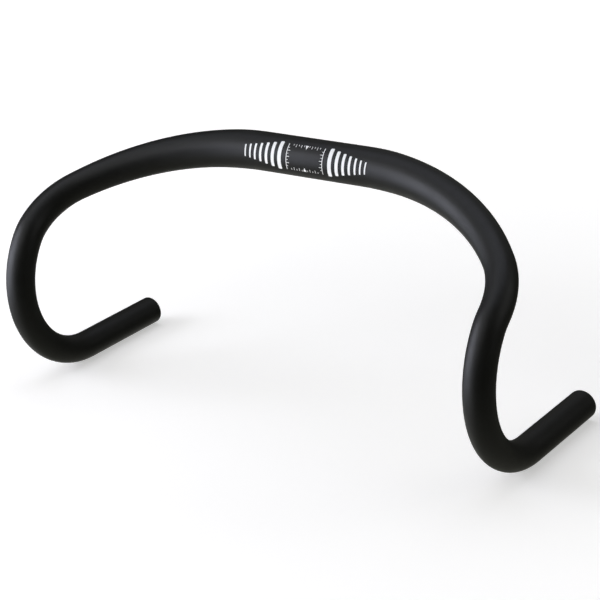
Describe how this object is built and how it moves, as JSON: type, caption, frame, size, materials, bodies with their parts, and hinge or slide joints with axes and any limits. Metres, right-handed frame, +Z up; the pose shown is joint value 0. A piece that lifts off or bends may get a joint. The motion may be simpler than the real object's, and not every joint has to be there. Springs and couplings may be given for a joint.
{
  "type": "track drop handlebar",
  "caption": "Drop handlebar for a track bicycle: one bent alloy tube, thick at the stem clamp, with sloping rounded tops, deep hooks and short level grips with open ends.",
  "frame": {"origin": "centre of the straight middle part, on the tube's axis, where the stem clamps it", "axes": "+X across the bicycle to the rider's left, -Y forward, +Z up, with the grips level"},
  "size_m": [0.4538, 0.173, 0.2098],
  "materials": {
    "satin_black": "satin black coating on aluminium alloy tube"
  },
  "bodies": {
    "root": {"handlebar": "satin_black"}
  },
  "joints": []
}
